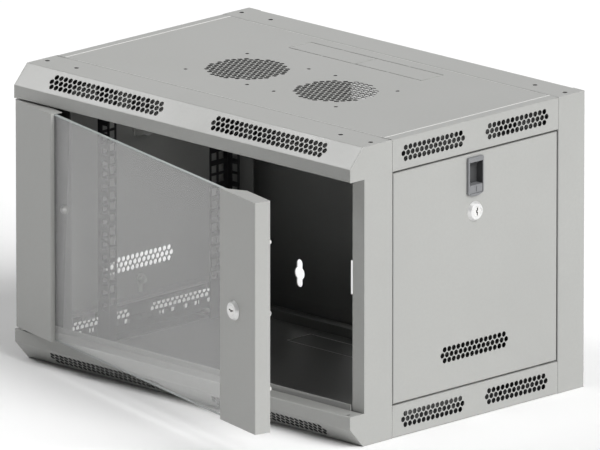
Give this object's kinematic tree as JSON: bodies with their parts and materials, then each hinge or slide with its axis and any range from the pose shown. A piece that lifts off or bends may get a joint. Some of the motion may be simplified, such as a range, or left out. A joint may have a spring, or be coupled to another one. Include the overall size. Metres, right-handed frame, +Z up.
{
  "type": "wall mount network cabinet",
  "caption": "Wall mount rack cabinet for 19-inch equipment with a lockable glass front door, lockable tilting side panels, vented frame, roof fan grilles and inner rack rails.",
  "frame": {"origin": "centre of the flat back that lies against the wall", "axes": "+Y into the wall, +Z up, +X to the right as seen from the front"},
  "size_m": [0.578, 0.5396, 0.368],
  "materials": {
    "light_grey_paint": "light grey fine-texture powder coat, semi-matt",
    "black_paint": "black powder coat",
    "zinc_plate": "bright zinc plate",
    "lock_chrome": "bright plated zinc casting",
    "lock_core_nickel": "satin nickel plate",
    "clear_glass": "clear toughened glass with polished edges",
    "tape_foam": "black double-sided foam tape",
    "soft_rubber": "grey rubber bumper",
    "grey_plastic": "mid grey moulded plastic"
  },
  "bodies": {
    "cabinet": {"front_top_beam": "light_grey_paint", "front_bottom_beam": "light_grey_paint", "front_left_cheek": "light_grey_paint", "front_right_cheek": "light_grey_paint", "upper_door_stop": "light_grey_paint", "lower_door_stop": "light_grey_paint", "upper_left_rail": "light_grey_paint", "upper_right_rail": "light_grey_paint", "lower_left_rail": "light_grey_paint", "lower_right_rail": "light_grey_paint", "rear_left_column": "light_grey_paint", "rear_right_column": "light_grey_paint", "rear_top_channel": "light_grey_paint", "rear_bottom_channel": "light_grey_paint", "back_panel": "light_grey_paint", "top_panel": "light_grey_paint", "bottom_panel": "light_grey_paint", "top_knockouts": "light_grey_paint", "bottom_knockouts": "light_grey_paint", "front_left_rack_rail": "black_paint", "front_right_rack_rail": "black_paint", "rear_left_rack_rail": "black_paint", "rear_right_rack_rail": "black_paint", "rack_rail_feet": "black_paint", "upper_left_strut": "black_paint", "upper_right_strut": "black_paint", "lower_left_strut": "black_paint", "lower_right_strut": "black_paint", "frame_bolts": "zinc_plate", "lower_hinge_pin": "zinc_plate", "frame_earth_studs": "zinc_plate"},
    "door": {"door_hinge_strip": "light_grey_paint", "door_lock_strip": "light_grey_paint", "door_glass": "clear_glass", "door_glass_tapes": "tape_foam", "door_bumpers": "soft_rubber", "lower_hinge_bush": "grey_plastic", "upper_hinge_spring": "zinc_plate", "door_lock_body": "lock_chrome", "door_lock_nut": "zinc_plate"},
    "door_lock_plug": {"door_lock_core": "lock_core_nickel", "door_lock_cam": "zinc_plate"},
    "hinge_pin": {"upper_hinge_pin": "zinc_plate"},
    "right_panel": {"right_side_panel": "light_grey_paint", "right_latch_housing": "grey_plastic", "right_lock_body": "lock_chrome", "right_lock_nut": "zinc_plate", "right_earth_tab": "zinc_plate"},
    "right_latch": {"right_latch_slider": "grey_plastic"},
    "right_lock_plug": {"right_lock_core": "lock_core_nickel", "right_lock_cam": "zinc_plate"},
    "left_panel": {"left_side_panel": "light_grey_paint", "left_latch_housing": "grey_plastic", "left_lock_body": "lock_chrome", "left_lock_nut": "zinc_plate", "left_earth_tab": "zinc_plate"},
    "left_latch": {"left_latch_slider": "grey_plastic"},
    "left_lock_plug": {"left_lock_core": "lock_core_nickel", "left_lock_cam": "zinc_plate"}
  },
  "joints": [
    {"name": "door_hinge", "type": "hinge", "parent": "cabinet", "child": "door", "pos_m": [-0.275, -0.393, 0], "axis": [0, 0, -1], "range_deg": [-14.5, 165.5]},
    {"name": "door_lock_turn", "type": "hinge", "parent": "door", "child": "door_lock_plug", "pos_m": [0.21749, -0.5276, 0], "axis": [-0.2504, -0.9681, 0], "range_deg": [0, 90]},
    {"name": "upper_hinge_pin_release", "type": "slide", "parent": "door", "child": "hinge_pin", "axis": [0, 0, -1], "range_m": [0, 0.0065], "stiffness_N_per_m": 300, "springref_m": -0.01, "deforming": ["upper_hinge_spring"]},
    {"name": "right_panel_tilt", "type": "hinge", "parent": "cabinet", "child": "right_panel", "pos_m": [0.2844, -0.189, -0.1425], "axis": [0, 1, 0], "range_deg": [0, 28]},
    {"name": "right_latch_slide", "type": "slide", "parent": "right_panel", "child": "right_latch", "axis": [0, 0, 1], "range_m": [0, 0.006]},
    {"name": "right_lock_turn", "type": "hinge", "parent": "right_panel", "child": "right_lock_plug", "pos_m": [0.285, -0.189, 0.0704], "axis": [-1, 0, 0], "range_deg": [0, 90]},
    {"name": "left_panel_tilt", "type": "hinge", "parent": "cabinet", "child": "left_panel", "pos_m": [-0.2844, -0.189, -0.1425], "axis": [0, -1, 0], "range_deg": [0, 28]},
    {"name": "left_latch_slide", "type": "slide", "parent": "left_panel", "child": "left_latch", "axis": [0, 0, 1], "range_m": [0, 0.006]},
    {"name": "left_lock_turn", "type": "hinge", "parent": "left_panel", "child": "left_lock_plug", "pos_m": [-0.285, -0.189, 0.0704], "axis": [-1, 0, 0], "range_deg": [0, 90]}
  ]
}
